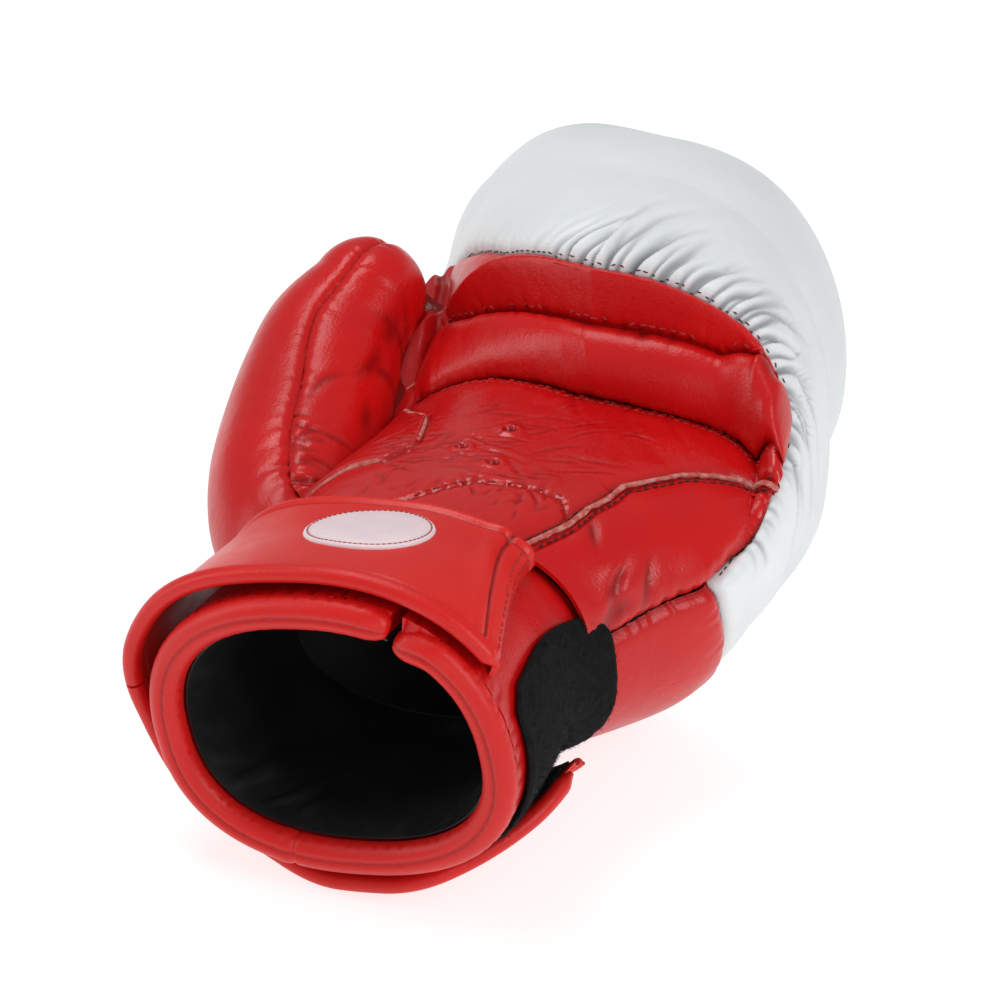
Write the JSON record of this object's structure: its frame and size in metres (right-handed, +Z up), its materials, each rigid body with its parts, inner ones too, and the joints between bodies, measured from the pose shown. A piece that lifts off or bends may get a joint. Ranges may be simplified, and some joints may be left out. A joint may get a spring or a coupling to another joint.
{
  "type": "boxing glove",
  "caption": "Padded leather boxing glove for the left hand, lying on its back with the palm up, with a hook-and-loop wrist strap and an attached thumb.",
  "frame": {"origin": "on the floor, under the middle of the glove's overall box, with the glove lying on its back", "axes": "+Y along the glove towards the fingers, +X towards the little-finger side, +Z up, out of the palm"},
  "size_m": [0.1786, 0.2824, 0.1209],
  "materials": {
    "white_leather": "satin, fine grain",
    "red_leather": "semi-gloss, smooth",
    "red_binding": "satin, folded edge",
    "foam": "matte padding",
    "lining_cloth": "satin cloth",
    "loop_cloth": "fuzzy loop pile",
    "hook_cloth": "hook pile",
    "badge_leather": "satin, blank"
  },
  "bodies": {
    "mitt": {"back_panel": "red_leather", "badge": "badge_leather", "cuff_binding": "red_binding", "cuff_foam": "foam", "cuff_leather": "red_leather", "cuff_lining": "lining_cloth", "finger_panel": "red_leather", "grip_bar_core": "foam", "grip_bar_sleeve": "red_leather", "hand_lining": "lining_cloth", "heel_panel": "red_leather", "knuckle_foam": "foam", "knuckle_panel": "white_leather", "loop_patch": "loop_cloth", "palm_foam": "foam", "palm_panel": "red_leather", "strap_palm": "red_leather", "strap_palm_binding": "red_binding", "thumb_tie": "red_leather"},
    "strap_side": {"strap_side": "red_leather", "strap_side_binding": "red_binding"},
    "strap_back": {"strap_back": "red_leather", "strap_back_binding": "red_binding", "strap_back_hook": "hook_cloth"},
    "strap_tip": {"strap_tip": "red_leather", "strap_tip_binding": "red_binding", "strap_tip_hook": "hook_cloth"},
    "thumb": {"thumb_outer_panel": "red_leather", "thumb_inner_panel": "red_leather", "thumb_foam": "foam", "thumb_lining": "lining_cloth"}
  },
  "joints": [
    {"name": "strap_side_peel", "type": "hinge", "parent": "mitt", "child": "strap_side", "pos_m": [-0.04082, -0.13053, 0.08359], "axis": [0, 1, 0], "range_deg": [0, 60]},
    {"name": "strap_back_peel", "type": "hinge", "parent": "strap_side", "child": "strap_back", "pos_m": [-0.0403, -0.13124, 0.01532], "axis": [0, 1, 0], "range_deg": [0, 55]},
    {"name": "strap_tip_peel", "type": "hinge", "parent": "strap_back", "child": "strap_tip", "pos_m": [0.01554, -0.13126, 0.00224], "axis": [0, 1, 0], "range_deg": [0, 50]},
    {"name": "thumb_flex", "type": "hinge", "parent": "mitt", "child": "thumb", "pos_m": [-0.03905, -0.05675, 0.0495], "axis": [0, 0, 1], "range_deg": [0, 6], "stiffness_Nm_per_rad": 0.4}
  ]
}
